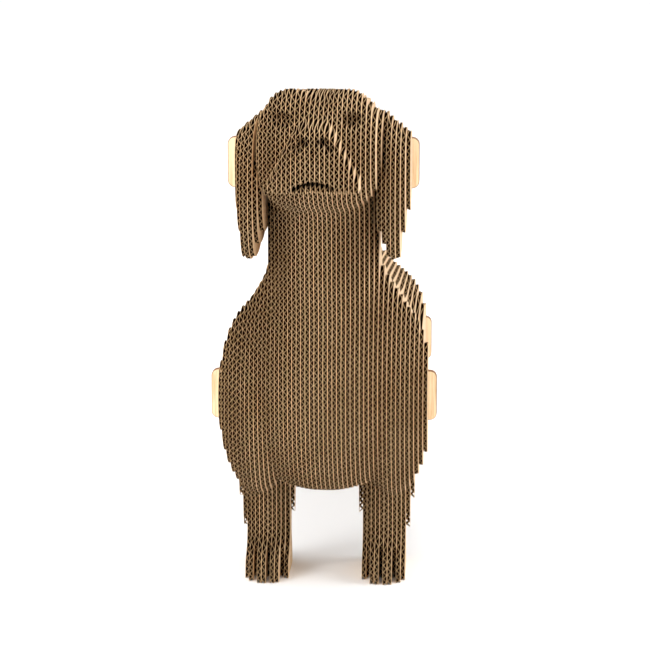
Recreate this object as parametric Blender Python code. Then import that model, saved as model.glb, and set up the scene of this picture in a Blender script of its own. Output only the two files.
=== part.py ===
# Layered cardboard dachshund: flat fluted boards stacked side by side along X on three plywood cross pins.
# Each board is a slice of one smooth body, cut across X. Metres, +Z up, the dog faces -Y and stands on Z = 0.
import math

import bpy
import bmesh
import numpy as np
from mathutils import Vector
from mathutils.geometry import tessellate_polygon

for old in list(bpy.data.objects):
    bpy.data.objects.remove(old, do_unlink=True)

MM = 0.001
PITCH = 1.6            # board to board, mm
BOARD_T = 1.3          # board solid, mm; the rest of the pitch is the glue line and crush allowance
K_LEFT, K_RIGHT = -24, 23
MID_SHIFT = 0.5        # the nose board sits half a pitch to the right of the middle of the stack
Y_SHIFT = -97.2       # puts the middle of the dog's length at Y = 0
EAR_FIRST, EAR_LAST = 13, 19
PIN_T = 3.0            # plywood thickness, mm
PIN_H = 18.5           # plywood pin height, mm
PIN_R = 2.6            # rounded pin corners, mm
FLOOR = -6.4           # the floor in the heights used below, mm
SLOT_CLEAR = 0.3       # all round the pin in its slot, mm
# name, Y from the neck front, Z, half length (mm)
PINS = [
    ("head_pin", 31.0, 148.4, 34.8),
    ("shoulder_pin", 34.0, 61.8, 41.7),
    ("hip_pin", 201.0, 51.4, 37.6),
]
GLUE_PAD = [(15.0, 141.0), (22.0, 141.0), (22.0, 153.0), (15.0, 153.0)]  # Y, Z of the pad between two glued ear boards, mm
TOE_GAPS = (16.0, 20.8, 25.6)  # from the middle of the dog, mm
OUTLINE_TOL = 0.62     # how far a simplified outline may leave the slice, mm
GRID = 1.0             # slice sampling, mm


# ---------------------------------------------------------------- the dog as a distance field (mm)
def sup(x, y, z, c, r, n=2.0):
    a, b, d = abs(x - c[0]) / r[0], np.abs(y - c[1]) / r[1], np.abs(z - c[2]) / r[2]
    f = (a**n + b**n + d**n) ** (1 / n)
    f = np.maximum(f, 1e-6)
    g = np.sqrt((a ** (n - 1) / r[0]) ** 2 + (b ** (n - 1) / r[1]) ** 2 + (d ** (n - 1) / r[2]) ** 2) * f ** (1 - n)
    return (f - 1) / np.maximum(g, 1e-6)


def rod(x, y, z, a, b, ra, rb, sx=1.0):
    ax, bx, px = a[0] / sx, b[0] / sx, x / sx
    dx, dy, dz = bx - ax, b[1] - a[1], b[2] - a[2]
    t = ((px - ax) * dx + (y - a[1]) * dy + (z - a[2]) * dz) / (dx * dx + dy * dy + dz * dz)
    t = np.clip(t, 0, 1)
    q = np.sqrt((px - ax - t * dx) ** 2 + (y - a[1] - t * dy) ** 2 + (z - a[2] - t * dz) ** 2)
    return q - (ra + (rb - ra) * t)


def column(x, y, z, rows, n):
    zs = [r[0] for r in rows]
    yf, yb, rx = (np.interp(z, zs, [r[i] for r in rows]) for i in (1, 2, 3))
    yc, ry = (yf + yb) / 2, (yb - yf) / 2
    f = ((abs(x) / rx) ** n + (np.abs(y - yc) / ry) ** n) ** (1 / n)
    d = (f - 1) * np.minimum(rx, ry) * 0.9
    return np.maximum(d, np.maximum(zs[0] - z, z - zs[-1]))


def blend(a, b, k):
    h = np.maximum(k - np.abs(a - b), 0) / k
    return np.minimum(a, b) - h * h * k / 4


def carve(a, b, k=0.6):
    h = np.maximum(k - np.abs(a + b), 0) / k
    return np.maximum(a, -b) + h * h * k / 4


# neck rows: Z, front Y, back Y, half width
NECK = [
    (56, 10, 76, 22),
    (78, -1, 76, 22),
    (92, -3.5, 73, 21.4),
    (100, -5.5, 70, 20.8),
    (110, -7.5, 66, 20.4),
    (121, -8, 61, 20.0),
    (132, -9.5, 58, 19.8),
    (136, -13, 57, 19.0),
    (139.5, -22, 56, 18.2),
    (143, -34, 55, 17.6),
    (147, -42, 54, 17.4),
    (150, -42, 54, 17.2),
]


def smax(a, b, k):
    h = np.maximum(k - np.abs(a - b), 0) / k
    return np.maximum(a, b) + h * h * k / 4


def muzzle_field(x, y, z):
    """Narrow along the bridge, wide at the flews."""
    w = 5.2 + np.clip(170.3 - z, -2, 24) * 0.53
    u = np.minimum(x / w, 1.3)
    front = -58.3 + 4.5 * u**4 + 5.0 * ((z - 158.5) / 12.5) ** 4
    low = 148.2 + 0.6 * (1 - min(x / 11.0, 1.0)) ** 2
    d = smax((front - y) * 0.9, (x - w) * 0.88, 1.6)
    d = smax(d, z - 170.8, 2.0)
    d = smax(d, low - z, 2.5)
    return np.maximum(d, y - 0.0)


def head_field(x, y, z):
    d = sup(x, y, z, (0, -3.5, 157.8), (21.9, 37.5, 19.8), 3.0)
    d = blend(d, sup(x, y, z, (9.2, -16, 168.0), (9.4, 21, 11.6), 2.3), 1.0)
    d = blend(d, sup(x, y, z, (0, 30.5, 148.4), (21.0, 22, 20.5), 4.0), 2)
    d = blend(d, muzzle_field(x, y, z), 1.6)
    d = blend(d, sup(x, y, z, (0, -54.5, 165.3), (6.4, 6.0, 5.4), 2.5), 1.2)
    lip = 152.2 - 0.045 * x * x
    chin = np.maximum(np.maximum(z - lip, x - 6.6), y + 55.2)
    d = carve(d, chin, 0.6)
    groove = np.maximum(np.maximum(np.abs(z - lip) - 0.6, x - 7.2), y + 50.0)
    d = carve(d, groove, 0.4)
    if x < 0.9:
        d = carve(d, np.maximum(np.maximum(z - 164.0, 150.0 - z), y + 58.6), 0.3)
    d = carve(d, sup(x, y, z, (3.4, -60.0, 166.3), (2.1, 5.6, 1.6), 2.0), 0.3)
    d = carve(d, sup(x, y, z, (5.6, -59.0, 163.9), (2.1, 5.6, 1.2), 2.0), 0.3)
    d = carve(d, sup(x, y, z, (12.8, -36.5, 171.0), (4.6, 6.5, 2.8), 2.0), 0.6)
    return d


def body_field(x, y, z):
    x = abs(x)
    torso = rod(x, y, z, (0, 62, 71), (0, 205, 66), 37.0, 28.5, 0.9)
    flank = carve(sup(x, y, z, (0, 128, 62.5), (36.2, 118, 24), 2.5), 222 - y, 16)
    torso = blend(torso, flank, 6)
    chest = sup(x, y, z, (0, 38, 68), (34.5, 43.5, 42), 2.25)
    d = blend(torso, chest, 8)
    d = blend(d, column(x, y, z, NECK, 2.4), 9)
    d = blend(d, head_field(x, y, z), 3.5)
    shoulder = sup(x, y, z, (24.8, 34.5, 60.8), (14.6, 31, 36), 2.0)
    d = blend(d, shoulder, 2.5)
    leg = rod(x, y, z, (21.5, 39, 2), (23.0, 43, 46), 7.7, 12.6)
    paw = sup(x, y, z, (21.6, 36.5, -5.4), (8.4, 19.5, 13.4), 2.5)
    for tx in TOE_GAPS:
        paw = carve(paw, sup(x, y, z, (tx, 13.0, -1.0), (1.2, 15.0, 14), 2.0), 0.3)
    front = blend(leg, paw, 5)
    d = blend(d, front, 2.5)
    thigh = sup(x, y, z, (20.0, 203, 49.5), (14.9, 29, 29.5), 2.2)
    shank = rod(x, y, z, (22.0, 210, 36), (21.6, 224, 18), 12.5, 7.6)
    hock = rod(x, y, z, (21.6, 224, 18), (21.6, 219, 0), 7.6, 7.6)
    foot = sup(x, y, z, (21.6, 209, -5.9), (8.4, 20, 12.0), 2.5)
    for tx in TOE_GAPS:
        foot = carve(foot, sup(x, y, z, (tx, 187.0, -1.9), (1.2, 7.5, 12), 2.0), 0.3)
    hind = blend(blend(shank, hock, 4), foot, 5)
    d = blend(d, thigh, 6)
    d = blend(d, hind, 4)
    tail = np.minimum(rod(x, y, z, (0, 214, 84), (0, 238, 75), 9.5, 6.2), rod(x, y, z, (0, 238, 75), (0, 251, 57), 6.2, 3.9))
    return blend(d, tail, 6)


# one row per ear board from the head outward (mm): top, bottom, front Y low down, front Y high up, back Y
EARS = {
    13: (169.2, 127.1, -14.0, -21.0, 41.0),
    14: (168.0, 122.8, -17.0, -3.0, 43.0),
    15: (166.8, 118.1, -18.0, -18.0, 45.0),
    16: (165.1, 117.1, -17.5, -17.5, 46.0),
    17: (164.0, 117.3, -13.0, -13.0, 45.5),
    18: (162.2, 125.9, -6.0, -7.0, 44.0),
    19: (160.8, 132.8, 7.0, 5.0, 42.0),
}


def ear_field(k, y, z):
    top, bot, f_low, f_high, back = EARS[k]
    t = np.clip((z - 148.0) / 12.0, 0, 1)
    front = f_low + (f_high - f_low) * t * t * (3 - 2 * t)
    d = np.clip((z - bot) / (top - bot), 0, 1)
    back = back - 9.0 * (1 - d) ** 2
    yc, w = (front + back) / 2, (back - front) / 2
    return sup(0, y, z, (0, yc, (top + bot) / 2), (1, w, (top - bot) / 2), 2.8)


# ---------------------------------------------------------------- outlines
def contours(field, y0, y1, z0, z1, step):
    ys = np.arange(y0, y1 + step, step)
    zs = np.arange(z0, z1 + step, step)
    v = field(*np.meshgrid(ys, zs, indexing="ij"))
    v = np.where(np.abs(v) < 1e-7, 1e-7, v)
    ins = v < 0
    links = {}
    pts = {}

    def cut(i, j, i2, j2):
        key = (i, j, i2, j2)
        if key not in pts:
            a, b = v[i, j], v[i2, j2]
            t = a / (a - b)
            pts[key] = (ys[i] + (ys[i2] - ys[i]) * t, zs[j] + (zs[j2] - zs[j]) * t)
        return key

    mixed = (ins[:-1, :-1] != ins[1:, :-1]) | (ins[:-1, :-1] != ins[:-1, 1:]) | (ins[:-1, :-1] != ins[1:, 1:])
    for i, j in zip(*np.nonzero(mixed)):
        i, j = int(i), int(j)
        c = [(i, j), (i + 1, j), (i + 1, j + 1), (i, j + 1)]
        s = [bool(ins[q]) for q in c]
        out_in, in_out = [], []
        for n in range(4):
            a, b = c[n], c[(n + 1) % 4]
            if s[n] != s[(n + 1) % 4]:
                key = cut(*min(a, b), *max(a, b))
                (in_out if s[n] else out_in).append((n, key))
        if len(out_in) == 1:
            links[in_out[0][1]] = out_in[0][1]
        else:
            for n, key in in_out:
                m = min(out_in, key=lambda q: (q[0] - n) % 4)
                links[key] = m[1]
    loops = []
    left = dict(links)
    while left:
        start = next(iter(left))
        loop, key = [], start
        while key in left:
            loop.append(pts[key])
            key = left.pop(key)
        if len(loop) > 6:
            loops.append(loop)
    return loops


def area(loop):
    a = np.array(loop)
    b = np.roll(a, -1, 0)
    return float(np.sum(a[:, 0] * b[:, 1] - b[:, 0] * a[:, 1])) / 2


def thin(loop, tol):
    def dp(seg):
        a, b = np.array(seg[0]), np.array(seg[-1])
        p = np.array(seg[1:-1])
        if len(p) == 0:
            return [seg[0]]
        d = b - a
        n = math.hypot(*d)
        off = np.abs((p[:, 0] - a[0]) * d[1] - (p[:, 1] - a[1]) * d[0]) / n if n > 1e-9 else np.hypot(*(p - a).T)
        m = int(np.argmax(off))
        if off[m] < tol:
            return [seg[0]]
        return dp(seg[: m + 2]) + dp(seg[m + 1 :])

    a = np.array(loop)
    i = int(np.argmin(a[:, 0] + a[:, 1] * 0.3))
    loop = loop[i:] + loop[:i]
    far = int(np.argmax(np.hypot(*(np.array(loop) - np.array(loop[0])).T)))
    return dp(loop[: far + 1]) + dp(loop[far:] + loop[:1])


def floor_cut(loop):
    out = []
    for n, p in enumerate(loop):
        q = loop[(n + 1) % len(loop)]
        if p[1] >= FLOOR:
            out.append(p)
        if (p[1] >= FLOOR) != (q[1] >= FLOOR):
            t = (p[1] - FLOOR) / (p[1] - q[1])
            out.append((p[0] + (q[0] - p[0]) * t, FLOOR))
    return out


def tidy(loop, least=0.35):
    out = [loop[0]]
    for p in loop[1:]:
        if math.dist(p, out[-1]) > least:
            out.append(p)
    if math.dist(out[0], out[-1]) <= least:
        out.pop()
    return out


def inside(loop, y, z):
    hit = False
    for n in range(len(loop)):
        (y0, z0), (y1, z1) = loop[n - 1], loop[n]
        if (z0 > z) != (z1 > z) and y < (y1 - y0) * (z - z0) / (z1 - z0) + y0:
            hit = not hit
    return hit


def outline(field, box, tol):
    loops = [q for q in contours(field, *box, GRID) if abs(area(q)) > 40]
    done = []
    for q in loops:
        if area(q) < 0:
            q = q[::-1]
        q = floor_cut(q)
        q = tidy(thin(q, tol))
        done.append(q)
    main = [q for q in done if any(inside(q, y, z) for _, y, z, _ in PINS[:2])]
    return max(main, key=area)


# ---------------------------------------------------------------- solids
def slots_for(loop):
    rows = []
    for name, py, pz, half in PINS:
        if inside(loop, py, pz):
            a, b = PIN_T / 2 + SLOT_CLEAR, PIN_H / 2 + SLOT_CLEAR
            rows.append([(py - a, pz - b), (py + a, pz - b), (py + a, pz + b), (py - a, pz + b)])
    return rows


def add_cap(bm, loop, holes, x, facing):
    """One flat side of a board with its slots open; returns the rim points of the outline and of each slot."""
    polys = [[Vector((0, y, z)) for y, z in loop]] + [[Vector((0, y, z)) for y, z in h[::-1]] for h in holes]
    flat = [p for poly in polys for p in poly]
    vs = [bm.verts.new((x * MM, (p.y + Y_SHIFT) * MM, (p.z - FLOOR) * MM)) for p in flat]
    for a, b, c in tessellate_polygon(polys):
        pa, pb, pc = flat[a], flat[b], flat[c]
        turn = (pb.y - pa.y) * (pc.z - pa.z) - (pb.z - pa.z) * (pc.y - pa.y)
        if (turn < 0) != (facing < 0):
            b, c = c, b
        bm.faces.new((vs[a], vs[b], vs[c]))
    rims, at = [], 0
    for poly in polys:
        rims.append(vs[at : at + len(poly)])
        at += len(poly)
    return rims


def join_rims(bm, lo, hi):
    n = len(lo)
    for i in range(n):
        j = (i + 1) % n
        bm.faces.new((lo[i], lo[j], hi[j], hi[i]))


def add_board(bm, loop, holes, x0, x1, glue_low=None, glue_high=None):
    """A board from x0 to x1. A glue pad leaves its rectangle open in that side's cap and returns its rim."""
    low = add_cap(bm, loop, holes + ([glue_low] if glue_low else []), x0, -1)
    high = add_cap(bm, loop, holes + ([glue_high] if glue_high else []), x1, 1)
    for i in range(1 + len(holes)):
        join_rims(bm, low[i], high[i])
    return low[-1], high[-1]


def finish(bm, name, material, origin=(0, 0, 0)):
    bmesh.ops.recalc_face_normals(bm, faces=bm.faces[:])
    mesh = bpy.data.meshes.new(name)
    for v in bm.verts:
        v.co -= Vector(origin)
    bm.to_mesh(mesh)
    bm.free()
    ob = bpy.data.objects.new(name, mesh)
    ob.location = origin
    mesh.materials.append(material)
    bpy.context.scene.collection.objects.link(ob)
    return ob


def paint(name, color, rough):
    m = bpy.data.materials.new(name)
    m.use_nodes = True
    p = m.node_tree.nodes["Principled BSDF"]
    p.inputs["Base Color"].default_value = (*color, 1)
    p.inputs["Roughness"].default_value = rough
    return m


def board_x(k):
    c = (k + MID_SHIFT) * PITCH
    return c - BOARD_T / 2, c + BOARD_T / 2


def tag(k):
    return "mid" if k == 0 else ("left_%02d" % -k if k < 0 else "right_%02d" % k)


shapes = {}
for k in range(K_LEFT, K_RIGHT + 1):
    m = abs(k)
    if m not in shapes:
        shapes[m] = outline(lambda y, z: body_field(m * PITCH, y, z), (-68, 266, -20, 188), OUTLINE_TOL)
    bm = bmesh.new()
    loop = shapes[m]
    add_board(bm, loop, slots_for(loop), *board_x(k))
    name = "board_" + tag(k)
    shade = 0.02 * ((k * 7) % 3)
    finish(bm, name, paint(name + "_kraft", (0.50 + shade, 0.33 + shade * 0.7, 0.18 + shade * 0.4), 0.85))

ears = {m: outline(lambda y, z: ear_field(m, y, z), (-24, 66, 108, 176), OUTLINE_TOL) for m in EARS}
for side, sign in (("left", -1), ("right", 1)):
    for m in range(EAR_FIRST, EAR_LAST + 1, 2):
        pair = [q for q in (m, m + 1) if q <= EAR_LAST]
        bm = bmesh.new()
        if len(pair) == 1:
            add_board(bm, ears[m], slots_for(ears[m]), *board_x(sign * m))
            name = "ear_board_%s_%d" % (side, m - EAR_FIRST + 1)
        else:
            a, b = sorted(sign * q for q in pair)
            ra = add_board(bm, ears[abs(a)], slots_for(ears[abs(a)]), *board_x(a), None, GLUE_PAD)[1]
            rb = add_board(bm, ears[abs(b)], slots_for(ears[abs(b)]), *board_x(b), GLUE_PAD, None)[0]
            join_rims(bm, ra, rb)
            name = "ear_boards_%s_%d_%d" % (side, m - EAR_FIRST + 1, m - EAR_FIRST + 2)
        finish(bm, name, paint(name + "_kraft", (0.52, 0.345, 0.19), 0.85))

for name, py, pz, half in PINS:
    bm = bmesh.new()
    loop = []
    for cx, cz, a0 in ((1, 1, 0), (-1, 1, 90), (-1, -1, 180), (1, -1, 270)):
        for s in range(6):
            a = math.radians(a0 + 18 * s)
            loop.append((cx * (half - PIN_R) + PIN_R * math.cos(a), pz + cz * (PIN_H / 2 - PIN_R) + PIN_R * math.sin(a)))
    y0, y1 = py - PIN_T / 2, py + PIN_T / 2
    lo = [bm.verts.new((x * MM, (y0 + Y_SHIFT) * MM, (z - FLOOR) * MM)) for x, z in loop]
    hi = [bm.verts.new((x * MM, (y1 + Y_SHIFT) * MM, (z - FLOOR) * MM)) for x, z in loop]
    n = len(loop)
    bm.faces.new(lo)
    bm.faces.new(hi[::-1])
    for i in range(n):
        j = (i + 1) % n
        bm.faces.new((lo[j], lo[i], hi[i], hi[j]))
    finish(bm, name, paint(name + "_plywood", (0.80, 0.62, 0.40), 0.6), (0, (py + Y_SHIFT) * MM, (pz - FLOOR) * MM))
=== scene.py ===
# Looks of the layered cardboard dachshund: every board is built as two thin liners and a fluted paper between
# them, cut to the same slice as its CAD slab; the plywood pins get eased edges and ply lines.
import math
import random

import bpy
import numpy as np
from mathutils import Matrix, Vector
from mathutils.geometry import tessellate_polygon


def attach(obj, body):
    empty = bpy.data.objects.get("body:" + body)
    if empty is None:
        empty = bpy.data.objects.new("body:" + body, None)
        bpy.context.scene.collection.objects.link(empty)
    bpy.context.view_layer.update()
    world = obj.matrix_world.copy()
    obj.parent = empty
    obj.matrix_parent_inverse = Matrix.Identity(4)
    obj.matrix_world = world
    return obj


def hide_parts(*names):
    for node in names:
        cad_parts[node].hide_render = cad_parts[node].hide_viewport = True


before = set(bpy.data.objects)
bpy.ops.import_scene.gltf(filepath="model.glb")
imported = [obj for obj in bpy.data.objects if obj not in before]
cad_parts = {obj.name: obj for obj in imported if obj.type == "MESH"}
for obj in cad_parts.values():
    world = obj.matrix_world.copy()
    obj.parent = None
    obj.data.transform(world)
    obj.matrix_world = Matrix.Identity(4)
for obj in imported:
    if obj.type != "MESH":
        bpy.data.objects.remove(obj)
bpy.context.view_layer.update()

MM = 0.001
PITCH = 1.6
MID_SHIFT = 0.5
Y_SHIFT = -97.2
FLOOR = -6.4
K_LEFT, K_RIGHT = -24, 23
EAR_FIRST, EAR_LAST = 13, 19
PIN_T, PIN_H, PIN_R, SLOT_CLEAR = 3.0, 18.5, 2.6, 0.3
PINS = [
    ("head_pin", 31.0, 148.4, 34.8),
    ("shoulder_pin", 34.0, 61.8, 41.7),
    ("hip_pin", 201.0, 51.4, 37.6),
]
TOE_GAPS = (16.0, 20.8, 25.6)
GRID = 0.6
FINE_TOL = 0.07
BOARD_OUT = 0.785      # half of a board with its liners, mm
LINER = 0.10           # liner thickness, mm
FLUTE = 2.33           # flute length, mm
WEB = 0.16             # fluted paper measured across the board, mm

# ---------------------------------------------------------------- the dog as a distance field (mm)
def sup(x, y, z, c, r, n=2.0):
    a, b, d = abs(x - c[0]) / r[0], np.abs(y - c[1]) / r[1], np.abs(z - c[2]) / r[2]
    f = (a**n + b**n + d**n) ** (1 / n)
    f = np.maximum(f, 1e-6)
    g = np.sqrt((a ** (n - 1) / r[0]) ** 2 + (b ** (n - 1) / r[1]) ** 2 + (d ** (n - 1) / r[2]) ** 2) * f ** (1 - n)
    return (f - 1) / np.maximum(g, 1e-6)


def rod(x, y, z, a, b, ra, rb, sx=1.0):
    ax, bx, px = a[0] / sx, b[0] / sx, x / sx
    dx, dy, dz = bx - ax, b[1] - a[1], b[2] - a[2]
    t = ((px - ax) * dx + (y - a[1]) * dy + (z - a[2]) * dz) / (dx * dx + dy * dy + dz * dz)
    t = np.clip(t, 0, 1)
    q = np.sqrt((px - ax - t * dx) ** 2 + (y - a[1] - t * dy) ** 2 + (z - a[2] - t * dz) ** 2)
    return q - (ra + (rb - ra) * t)


def column(x, y, z, rows, n):
    zs = [r[0] for r in rows]
    yf, yb, rx = (np.interp(z, zs, [r[i] for r in rows]) for i in (1, 2, 3))
    yc, ry = (yf + yb) / 2, (yb - yf) / 2
    f = ((abs(x) / rx) ** n + (np.abs(y - yc) / ry) ** n) ** (1 / n)
    d = (f - 1) * np.minimum(rx, ry) * 0.9
    return np.maximum(d, np.maximum(zs[0] - z, z - zs[-1]))


def blend(a, b, k):
    h = np.maximum(k - np.abs(a - b), 0) / k
    return np.minimum(a, b) - h * h * k / 4


def carve(a, b, k=0.6):
    h = np.maximum(k - np.abs(a + b), 0) / k
    return np.maximum(a, -b) + h * h * k / 4


# neck rows: Z, front Y, back Y, half width
NECK = [
    (56, 10, 76, 22),
    (78, -1, 76, 22),
    (92, -3.5, 73, 21.4),
    (100, -5.5, 70, 20.8),
    (110, -7.5, 66, 20.4),
    (121, -8, 61, 20.0),
    (132, -9.5, 58, 19.8),
    (136, -13, 57, 19.0),
    (139.5, -22, 56, 18.2),
    (143, -34, 55, 17.6),
    (147, -42, 54, 17.4),
    (150, -42, 54, 17.2),
]


def smax(a, b, k):
    h = np.maximum(k - np.abs(a - b), 0) / k
    return np.maximum(a, b) + h * h * k / 4


def muzzle_field(x, y, z):
    """Narrow along the bridge, wide at the flews."""
    w = 5.2 + np.clip(170.3 - z, -2, 24) * 0.53
    u = np.minimum(x / w, 1.3)
    front = -58.3 + 4.5 * u**4 + 5.0 * ((z - 158.5) / 12.5) ** 4
    low = 148.2 + 0.6 * (1 - min(x / 11.0, 1.0)) ** 2
    d = smax((front - y) * 0.9, (x - w) * 0.88, 1.6)
    d = smax(d, z - 170.8, 2.0)
    d = smax(d, low - z, 2.5)
    return np.maximum(d, y - 0.0)


def head_field(x, y, z):
    d = sup(x, y, z, (0, -3.5, 157.8), (21.9, 37.5, 19.8), 3.0)
    d = blend(d, sup(x, y, z, (9.2, -16, 168.0), (9.4, 21, 11.6), 2.3), 1.0)
    d = blend(d, sup(x, y, z, (0, 30.5, 148.4), (21.0, 22, 20.5), 4.0), 2)
    d = blend(d, muzzle_field(x, y, z), 1.6)
    d = blend(d, sup(x, y, z, (0, -54.5, 165.3), (6.4, 6.0, 5.4), 2.5), 1.2)
    lip = 152.2 - 0.045 * x * x
    chin = np.maximum(np.maximum(z - lip, x - 6.6), y + 55.2)
    d = carve(d, chin, 0.6)
    groove = np.maximum(np.maximum(np.abs(z - lip) - 0.6, x - 7.2), y + 50.0)
    d = carve(d, groove, 0.4)
    if x < 0.9:
        d = carve(d, np.maximum(np.maximum(z - 164.0, 150.0 - z), y + 58.6), 0.3)
    d = carve(d, sup(x, y, z, (3.4, -60.0, 166.3), (2.1, 5.6, 1.6), 2.0), 0.3)
    d = carve(d, sup(x, y, z, (5.6, -59.0, 163.9), (2.1, 5.6, 1.2), 2.0), 0.3)
    d = carve(d, sup(x, y, z, (12.8, -36.5, 171.0), (4.6, 6.5, 2.8), 2.0), 0.6)
    return d


def body_field(x, y, z):
    x = abs(x)
    torso = rod(x, y, z, (0, 62, 71), (0, 205, 66), 37.0, 28.5, 0.9)
    flank = carve(sup(x, y, z, (0, 128, 62.5), (36.2, 118, 24), 2.5), 222 - y, 16)
    torso = blend(torso, flank, 6)
    chest = sup(x, y, z, (0, 38, 68), (34.5, 43.5, 42), 2.25)
    d = blend(torso, chest, 8)
    d = blend(d, column(x, y, z, NECK, 2.4), 9)
    d = blend(d, head_field(x, y, z), 3.5)
    shoulder = sup(x, y, z, (24.8, 34.5, 60.8), (14.6, 31, 36), 2.0)
    d = blend(d, shoulder, 2.5)
    leg = rod(x, y, z, (21.5, 39, 2), (23.0, 43, 46), 7.7, 12.6)
    paw = sup(x, y, z, (21.6, 36.5, -5.4), (8.4, 19.5, 13.4), 2.5)
    for tx in TOE_GAPS:
        paw = carve(paw, sup(x, y, z, (tx, 13.0, -1.0), (1.2, 15.0, 14), 2.0), 0.3)
    front = blend(leg, paw, 5)
    d = blend(d, front, 2.5)
    thigh = sup(x, y, z, (20.0, 203, 49.5), (14.9, 29, 29.5), 2.2)
    shank = rod(x, y, z, (22.0, 210, 36), (21.6, 224, 18), 12.5, 7.6)
    hock = rod(x, y, z, (21.6, 224, 18), (21.6, 219, 0), 7.6, 7.6)
    foot = sup(x, y, z, (21.6, 209, -5.9), (8.4, 20, 12.0), 2.5)
    for tx in TOE_GAPS:
        foot = carve(foot, sup(x, y, z, (tx, 187.0, -1.9), (1.2, 7.5, 12), 2.0), 0.3)
    hind = blend(blend(shank, hock, 4), foot, 5)
    d = blend(d, thigh, 6)
    d = blend(d, hind, 4)
    tail = np.minimum(rod(x, y, z, (0, 214, 84), (0, 238, 75), 9.5, 6.2), rod(x, y, z, (0, 238, 75), (0, 251, 57), 6.2, 3.9))
    return blend(d, tail, 6)


# one row per ear board from the head outward (mm): top, bottom, front Y low down, front Y high up, back Y
EARS = {
    13: (169.2, 127.1, -14.0, -21.0, 41.0),
    14: (168.0, 122.8, -17.0, -3.0, 43.0),
    15: (166.8, 118.1, -18.0, -18.0, 45.0),
    16: (165.1, 117.1, -17.5, -17.5, 46.0),
    17: (164.0, 117.3, -13.0, -13.0, 45.5),
    18: (162.2, 125.9, -6.0, -7.0, 44.0),
    19: (160.8, 132.8, 7.0, 5.0, 42.0),
}


def ear_field(k, y, z):
    top, bot, f_low, f_high, back = EARS[k]
    t = np.clip((z - 148.0) / 12.0, 0, 1)
    front = f_low + (f_high - f_low) * t * t * (3 - 2 * t)
    d = np.clip((z - bot) / (top - bot), 0, 1)
    back = back - 9.0 * (1 - d) ** 2
    yc, w = (front + back) / 2, (back - front) / 2
    return sup(0, y, z, (0, yc, (top + bot) / 2), (1, w, (top - bot) / 2), 2.8)


# ---------------------------------------------------------------- outlines
def contours(field, y0, y1, z0, z1, step):
    ys = np.arange(y0, y1 + step, step)
    zs = np.arange(z0, z1 + step, step)
    v = field(*np.meshgrid(ys, zs, indexing="ij"))
    v = np.where(np.abs(v) < 1e-7, 1e-7, v)
    ins = v < 0
    links = {}
    pts = {}

    def cut(i, j, i2, j2):
        key = (i, j, i2, j2)
        if key not in pts:
            a, b = v[i, j], v[i2, j2]
            t = a / (a - b)
            pts[key] = (ys[i] + (ys[i2] - ys[i]) * t, zs[j] + (zs[j2] - zs[j]) * t)
        return key

    mixed = (ins[:-1, :-1] != ins[1:, :-1]) | (ins[:-1, :-1] != ins[:-1, 1:]) | (ins[:-1, :-1] != ins[1:, 1:])
    for i, j in zip(*np.nonzero(mixed)):
        i, j = int(i), int(j)
        c = [(i, j), (i + 1, j), (i + 1, j + 1), (i, j + 1)]
        s = [bool(ins[q]) for q in c]
        out_in, in_out = [], []
        for n in range(4):
            a, b = c[n], c[(n + 1) % 4]
            if s[n] != s[(n + 1) % 4]:
                key = cut(*min(a, b), *max(a, b))
                (in_out if s[n] else out_in).append((n, key))
        if len(out_in) == 1:
            links[in_out[0][1]] = out_in[0][1]
        else:
            for n, key in in_out:
                m = min(out_in, key=lambda q: (q[0] - n) % 4)
                links[key] = m[1]
    loops = []
    left = dict(links)
    while left:
        start = next(iter(left))
        loop, key = [], start
        while key in left:
            loop.append(pts[key])
            key = left.pop(key)
        if len(loop) > 6:
            loops.append(loop)
    return loops


def area(loop):
    a = np.array(loop)
    b = np.roll(a, -1, 0)
    return float(np.sum(a[:, 0] * b[:, 1] - b[:, 0] * a[:, 1])) / 2


def thin(loop, tol):
    def dp(seg):
        a, b = np.array(seg[0]), np.array(seg[-1])
        p = np.array(seg[1:-1])
        if len(p) == 0:
            return [seg[0]]
        d = b - a
        n = math.hypot(*d)
        off = np.abs((p[:, 0] - a[0]) * d[1] - (p[:, 1] - a[1]) * d[0]) / n if n > 1e-9 else np.hypot(*(p - a).T)
        m = int(np.argmax(off))
        if off[m] < tol:
            return [seg[0]]
        return dp(seg[: m + 2]) + dp(seg[m + 1 :])

    a = np.array(loop)
    i = int(np.argmin(a[:, 0] + a[:, 1] * 0.3))
    loop = loop[i:] + loop[:i]
    far = int(np.argmax(np.hypot(*(np.array(loop) - np.array(loop[0])).T)))
    return dp(loop[: far + 1]) + dp(loop[far:] + loop[:1])


def floor_cut(loop):
    out = []
    for n, p in enumerate(loop):
        q = loop[(n + 1) % len(loop)]
        if p[1] >= FLOOR:
            out.append(p)
        if (p[1] >= FLOOR) != (q[1] >= FLOOR):
            t = (p[1] - FLOOR) / (p[1] - q[1])
            out.append((p[0] + (q[0] - p[0]) * t, FLOOR))
    return out


def tidy(loop, least=0.35):
    out = [loop[0]]
    for p in loop[1:]:
        if math.dist(p, out[-1]) > least:
            out.append(p)
    if math.dist(out[0], out[-1]) <= least:
        out.pop()
    return out


def inside(loop, y, z):
    hit = False
    for n in range(len(loop)):
        (y0, z0), (y1, z1) = loop[n - 1], loop[n]
        if (z0 > z) != (z1 > z) and y < (y1 - y0) * (z - z0) / (z1 - z0) + y0:
            hit = not hit
    return hit


def outline(field, box, tol, step=GRID):
    done = []
    for q in contours(field, *box, step):
        if abs(area(q)) < 40:
            continue
        if area(q) < 0:
            q = q[::-1]
        done.append(tidy(thin(floor_cut(q), tol), 0.12))
    main = [q for q in done if any(inside(q, y, z) for _, y, z, _ in PINS[:2])]
    return max(main, key=area)


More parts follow.
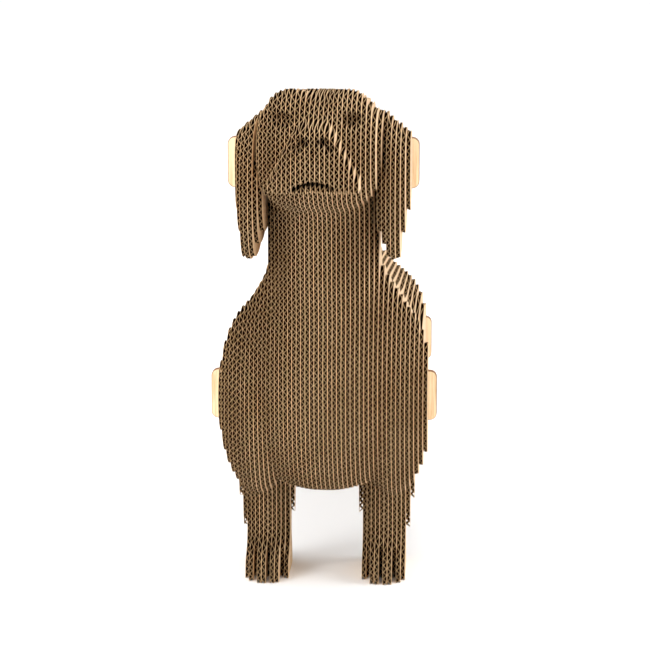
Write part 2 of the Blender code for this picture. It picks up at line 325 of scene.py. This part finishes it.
def slots_for(loop):
    rows = []
    for name, py, pz, half in PINS:
        if inside(loop, py, pz):
            a, b = PIN_T / 2 + SLOT_CLEAR, PIN_H / 2 + SLOT_CLEAR
            rows.append([(py - a, pz - b), (py + a, pz - b), (py + a, pz + b), (py - a, pz + b)])
    return rows


# ---------------------------------------------------------------- meshes
class Build:
    def __init__(self):
        self.v, self.f, self.m = [], [], []

    def face(self, ids, mat):
        self.f.append(ids)
        self.m.append(mat)

    def put(self, x, y, z):
        self.v.append((x * MM, (y + Y_SHIFT) * MM, (z - FLOOR) * MM))
        return len(self.v) - 1

    def object(self, name, mats, smooth=False):
        mesh = bpy.data.meshes.new(name)
        mesh.from_pydata(self.v, [], self.f)
        for m in mats:
            mesh.materials.append(m)
        mesh.polygons.foreach_set("material_index", self.m)
        mesh.update()
        ob = bpy.data.objects.new(name, mesh)
        bpy.context.scene.collection.objects.link(ob)
        if smooth:
            mesh.shade_smooth()
            mesh.set_sharp_from_angle(angle=math.radians(35))
        return ob


# Material slot 2 is near-black: painted shade for the flute interiors and for the liner faces that look into the
# flutes.
FACE, EDGE, WEBSIDE_PAINTED_SHADE = 0, 1, 2


def sheet(b, loop, holes, x0, x1, out):
    """A liner from x0 to x1; out is the side (+1 or -1) that faces away from the flutes."""
    polys = [[Vector((0, y, z)) for y, z in loop]] + [[Vector((0, y, z)) for y, z in h[::-1]] for h in holes]
    flat = [p for poly in polys for p in poly]
    lo = [b.put(x0, p.y, p.z) for p in flat]
    hi = [b.put(x1, p.y, p.z) for p in flat]
    for i, j, k in tessellate_polygon(polys):
        pa, pb, pc = flat[i], flat[j], flat[k]
        turn = (pb.y - pa.y) * (pc.z - pa.z) - (pb.z - pa.z) * (pc.y - pa.y)
        if abs(turn) < 1e-9:
            continue
        if turn < 0:
            j, k = k, j
        # The liner side toward the flutes takes the near-black painted-shade slot.
        b.face((hi[i], hi[j], hi[k]), FACE if out > 0 else WEBSIDE_PAINTED_SHADE)
        b.face((lo[i], lo[k], lo[j]), FACE if out < 0 else WEBSIDE_PAINTED_SHADE)
    at = 0
    for poly in polys:
        n = len(poly)
        for i in range(n):
            j = (i + 1) % n
            b.face((lo[at + i], lo[at + j], hi[at + j], hi[at + i]), EDGE)
        at += n


def crossings(segs, z):
    y0, z0, y1, z1 = segs
    hit = (z0 > z) != (z1 > z)
    y = y0[hit] + (y1[hit] - y0[hit]) * (z - z0[hit]) / (z1[hit] - z0[hit])
    return np.sort(y)


def fluting(b, loop, holes, xc, rng):
    """The fluted paper: a zigzag sheet between the liners, one closed strip per run of the slice."""
    rows = []
    for poly in [loop] + holes:
        for n in range(len(poly)):
            rows.append((*poly[n - 1], *poly[n]))
    segs = tuple(np.array(rows).T)
    zmin, zmax = min(p[1] for p in loop), max(p[1] for p in loop)
    half = FLUTE / 2
    swing = BOARD_OUT - LINER - WEB / 2 - 0.012
    phase = rng.uniform(0, FLUTE)
    sign = 1
    z = zmin - FLUTE + phase - FLUTE
    knots = []
    while z < zmax + FLUTE:
        s = swing * rng.uniform(0.965, 1.0)
        knots.append((z, sign * s))
        z += half * rng.uniform(0.955, 1.045)
        sign = -sign
    levels = []
    for (za, xa), (zb, xb) in zip(knots, knots[1:]):
        levels.append((za, xa))
        levels.append(((za + zb) / 2, (xa + xb) / 2))
    open_runs = []

    def ring(x, ya, yb, z):
        return (b.put(xc + x - WEB / 2, ya, z), b.put(xc + x + WEB / 2, ya, z), b.put(xc + x + WEB / 2, yb, z), b.put(xc + x - WEB / 2, yb, z))

    for (za, xa), (zb, xb) in zip(levels, levels[1:]):
        lo_z, hi_z = max(za, zmin), min(zb, zmax)
        if hi_z - lo_z < 0.02:
            continue
        fx = lambda q: xa + (xb - xa) * (q - za) / (zb - za)
        mid = crossings(segs, (lo_z + hi_z) / 2)
        low, high = crossings(segs, lo_z + 1e-4), crossings(segs, hi_z - 1e-4)
        if len(low) != len(mid):
            low = mid
        if len(high) != len(mid):
            high = mid
        fresh = []
        for i in range(0, len(mid) - 1, 2):
            if mid[i + 1] - mid[i] < 0.5:
                continue
            base = None
            for run in open_runs:
                if abs(run[1] - low[i]) < 0.02 and abs(run[2] - low[i + 1]) < 0.02:
                    base = run[0]
                    run[3] = True
                    break
            if base is None:
                base = ring(fx(lo_z), low[i] + 0.02, low[i + 1] - 0.02, lo_z)
                b.face((base[0], base[3], base[2], base[1]), EDGE)
            top = ring(fx(hi_z), high[i] + 0.02, high[i + 1] - 0.02, hi_z)
            # The web's two sides take the near-black painted-shade slot; its edges and ends take the cut-edge colour.
            b.face((base[0], top[0], top[3], base[3]), WEBSIDE_PAINTED_SHADE)
            b.face((base[1], base[2], top[2], top[1]), WEBSIDE_PAINTED_SHADE)
            b.face((base[0], base[1], top[1], top[0]), EDGE)
            b.face((base[2], base[3], top[3], top[2]), EDGE)
            fresh.append([top, high[i], high[i + 1], False])
        for run in open_runs:
            if not run[3]:
                b.face(run[0], EDGE)
        open_runs = fresh
    for run in open_runs:
        b.face(run[0], EDGE)


def board(b, loop, k, rng):
    xc = (k + MID_SHIFT) * PITCH
    holes = slots_for(loop)
    sheet(b, loop, holes, xc + BOARD_OUT - LINER, xc + BOARD_OUT, 1)
    sheet(b, loop, holes, xc - BOARD_OUT, xc - BOARD_OUT + LINER, -1)
    fluting(b, loop, holes, xc, rng)


# ---------------------------------------------------------------- materials
def tree(name):
    m = bpy.data.materials.new(name)
    m.use_nodes = True
    nt = m.node_tree
    return m, nt, nt.nodes["Principled BSDF"]


def node(nt, kind, **sets):
    n = nt.nodes.new(kind)
    for k, v in sets.items():
        if k in n.inputs:
            n.inputs[k].default_value = v
        else:
            setattr(n, k, v)
    return n


def scaled(nt, scale):
    tc = node(nt, "ShaderNodeTexCoord")
    mp = node(nt, "ShaderNodeMapping")
    mp.inputs["Scale"].default_value = scale
    nt.links.new(tc.outputs["Object"], mp.inputs["Vector"])
    return mp


def ramp(nt, fac, stops):
    r = node(nt, "ShaderNodeValToRGB")
    r.color_ramp.elements[0].position, r.color_ramp.elements[0].color = stops[0][0], (*stops[0][1], 1)
    r.color_ramp.elements[1].position, r.color_ramp.elements[1].color = stops[-1][0], (*stops[-1][1], 1)
    for pos, col in stops[1:-1]:
        e = r.color_ramp.elements.new(pos)
        e.color = (*col, 1)
    nt.links.new(fac, r.inputs["Fac"])
    return r


def kraft(name, dark, light, stretch=(900, 220, 900), bump=0.12, rough=0.88):
    m, nt, p = tree(name)
    mp = scaled(nt, stretch)
    n1 = node(nt, "ShaderNodeTexNoise", Scale=1.0, Detail=4.0, Roughness=0.6)
    nt.links.new(mp.outputs["Vector"], n1.inputs["Vector"])
    mp2 = scaled(nt, (60, 60, 60))
    n2 = node(nt, "ShaderNodeTexNoise", Scale=1.0, Detail=3.0, Roughness=0.55)
    nt.links.new(mp2.outputs["Vector"], n2.inputs["Vector"])
    mix = node(nt, "ShaderNodeMath", operation="MULTIPLY_ADD")
    nt.links.new(n1.outputs["Fac"], mix.inputs[0])
    mix.inputs[1].default_value = 0.6
    half = node(nt, "ShaderNodeMath", operation="MULTIPLY")
    nt.links.new(n2.outputs["Fac"], half.inputs[0])
    half.inputs[1].default_value = 0.4
    nt.links.new(half.outputs[0], mix.inputs[2])
    r = ramp(nt, mix.outputs[0], [(0.32, dark), (0.68, light)])
    nt.links.new(r.outputs["Color"], p.inputs["Base Color"])
    p.inputs["Roughness"].default_value = rough
    bp = node(nt, "ShaderNodeBump", Strength=bump, Distance=0.00006)
    nt.links.new(n1.outputs["Fac"], bp.inputs["Height"])
    nt.links.new(bp.outputs["Normal"], p.inputs["Normal"])
    return m


kraft_face = kraft("kraft_face", (0.52, 0.335, 0.18), (0.76, 0.555, 0.34))
kraft_edge = kraft("kraft_cut_edge", (0.48, 0.285, 0.125), (0.78, 0.52, 0.275), (500, 500, 500), 0.2, 0.92)
# The flute paper is near-black, far darker than kraft, with no specular: painted shade for the deep shadow inside the
# flutes.
kraft_web_painted_shade = kraft("kraft_flute_painted_shade", (0.006, 0.0032, 0.0015), (0.016, 0.009, 0.0045), (700, 160, 700), 0.12, 0.92)
kraft_web_painted_shade.node_tree.nodes["Principled BSDF"].inputs["Specular IOR Level"].default_value = 0.0
BOARD_MATS = [kraft_face, kraft_edge, kraft_web_painted_shade]


def plywood():
    m, nt, p = tree("plywood_face")
    mp = scaled(nt, (900, 900, 45))
    n = node(nt, "ShaderNodeTexNoise", Scale=1.0, Detail=5.0, Roughness=0.6, Distortion=0.6)
    nt.links.new(mp.outputs["Vector"], n.inputs["Vector"])
    r = ramp(nt, n.outputs["Fac"], [(0.30, (0.62, 0.39, 0.19)), (0.48, (0.82, 0.61, 0.38)), (0.70, (0.90, 0.72, 0.48))])
    nt.links.new(r.outputs["Color"], p.inputs["Base Color"])
    p.inputs["Roughness"].default_value = 0.6
    bp = node(nt, "ShaderNodeBump", Strength=0.15, Distance=0.00008)
    nt.links.new(n.outputs["Fac"], bp.inputs["Height"])
    nt.links.new(bp.outputs["Normal"], p.inputs["Normal"])
    return m


def burnt():
    m, nt, p = tree("plywood_burnt_edge")
    mp = scaled(nt, (1400, 1400, 1400))
    n = node(nt, "ShaderNodeTexNoise", Scale=1.0, Detail=4.0)
    nt.links.new(mp.outputs["Vector"], n.inputs["Vector"])
    r = ramp(nt, n.outputs["Fac"], [(0.3, (0.13, 0.055, 0.022)), (0.7, (0.30, 0.14, 0.06))])
    nt.links.new(r.outputs["Color"], p.inputs["Base Color"])
    p.inputs["Roughness"].default_value = 0.75
    bp = node(nt, "ShaderNodeBump", Strength=0.2, Distance=0.0001)
    nt.links.new(n.outputs["Fac"], bp.inputs["Height"])
    nt.links.new(bp.outputs["Normal"], p.inputs["Normal"])
    return m


ply_face, ply_edge = plywood(), burnt()

# ---------------------------------------------------------------- boards
def tag(k):
    return "mid" if k == 0 else ("left_%02d" % -k if k < 0 else "right_%02d" % k)


shapes = {}
for k in range(K_LEFT, K_RIGHT + 1):
    m = abs(k)
    if m not in shapes:
        shapes[m] = outline(lambda y, z: body_field(m * PITCH, y, z), (-68, 266, -20, 188), FINE_TOL)
    b = Build()
    board(b, shapes[m], k, random.Random(1000 + k))
    ob = b.object("fluted_" + tag(k), BOARD_MATS)
    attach(ob, "stack")
    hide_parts("board_" + tag(k))

for m in range(EAR_FIRST, EAR_LAST + 1, 2):
    pair = [q for q in (m, m + 1) if q <= EAR_LAST]
    loops = {q: outline(lambda y, z: ear_field(q, y, z), (-24, 66, 108, 176), FINE_TOL, 0.4) for q in pair}
    for side, sign in (("left", -1), ("right", 1)):
        b = Build()
        for q in pair:
            board(b, loops[q], sign * q, random.Random(5000 + sign * q))
        n = m - EAR_FIRST + 1
        last = "_%d_%d" % (n, n + 1) if len(pair) == 2 else "_%d" % n
        ob = b.object("fluted_ear_" + side + last, BOARD_MATS)
        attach(ob, "stack")
        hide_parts(("ear_boards_" if len(pair) == 2 else "ear_board_") + side + last)

# ---------------------------------------------------------------- pins
EASE = 0.22
for name, py, pz, half in PINS:
    b = Build()

    def rim(inset, y):
        ids = []
        for cx, cz, a0 in ((1, 1, 0), (-1, 1, 90), (-1, -1, 180), (1, -1, 270)):
            for s in range(13):
                a = math.radians(a0 + 7.5 * s)
                r = PIN_R - inset
                ids.append(b.put(cx * (half - PIN_R) + r * math.cos(a), y, pz + cz * (PIN_H / 2 - PIN_R) + r * math.sin(a)))
        return ids

    y0, y1 = py - PIN_T / 2, py + PIN_T / 2
    rings = [rim(EASE, y0), rim(0.06, y0 + 0.06), rim(0, y0 + EASE), rim(0, y1 - EASE), rim(0.06, y1 - 0.06), rim(EASE, y1)]
    b.face(tuple(rings[0]), 0)
    b.face(tuple(rings[-1][::-1]), 0)
    n = len(rings[0])
    for lo, hi in zip(rings, rings[1:]):
        for i in range(n):
            j = (i + 1) % n
            b.face((lo[j], lo[i], hi[i], hi[j]), 1)
    ob = b.object("plywood_" + name, [ply_face, ply_edge], True)
    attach(ob, name + "_body")
    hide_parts(name)

# ---------------------------------------------------------------- stage
scene = bpy.context.scene
mesh = bpy.data.meshes.new("floor")
mesh.from_pydata([(-6, -6, 0), (6, -6, 0), (6, 6, 0), (-6, 6, 0)], [], [(0, 1, 2, 3)])
floor = bpy.data.objects.new("floor", mesh)
scene.collection.objects.link(floor)
fm, fnt, fp = tree("floor_paper")
fp.inputs["Base Color"].default_value = (0.96, 0.96, 0.96, 1)
fp.inputs["Roughness"].default_value = 0.9
mesh.materials.append(fm)

world = bpy.data.worlds.new("studio")
scene.world = world
world.use_nodes = True
bg = world.node_tree.nodes["Background"]
bg.inputs["Color"].default_value = (1, 1, 1, 1)
bg.inputs["Strength"].default_value = 1.05


def lamp(name, at, look, size, power):
    ld = bpy.data.lights.new(name, "AREA")
    ld.shape, ld.size, ld.size_y = "RECTANGLE", size[0], size[1]
    ld.energy = power
    ob = bpy.data.objects.new(name, ld)
    ob.location = at
    ob.rotation_euler = (Vector(look) - Vector(at)).to_track_quat("-Z", "Y").to_euler()
    scene.collection.objects.link(ob)
    return ob


lamp("softbox_right", (1.35, -0.15, 0.75), (0, 0, 0.09), (0.7, 0.9), 11)
lamp("softbox_left", (-0.95, -0.95, 0.8), (0, 0, 0.09), (0.6, 0.8), 11)
lamp("softbox_top", (0.0, 0.1, 1.4), (0, 0, 0.09), (0.9, 0.9), 8)

cam_data = bpy.data.cameras.new("camera")
cam = bpy.data.objects.new("camera", cam_data)
scene.collection.objects.link(cam)
cam.location = (0.0515, -1.0632, 0.2814)
cam.rotation_euler = (math.radians(90 - 10.6), 0, math.radians(2.93))
cam_data.sensor_width = 36
cam_data.lens = 153.2
cam_data.clip_start = 0.05
scene.camera = cam
scene.view_settings.view_transform = "Standard"
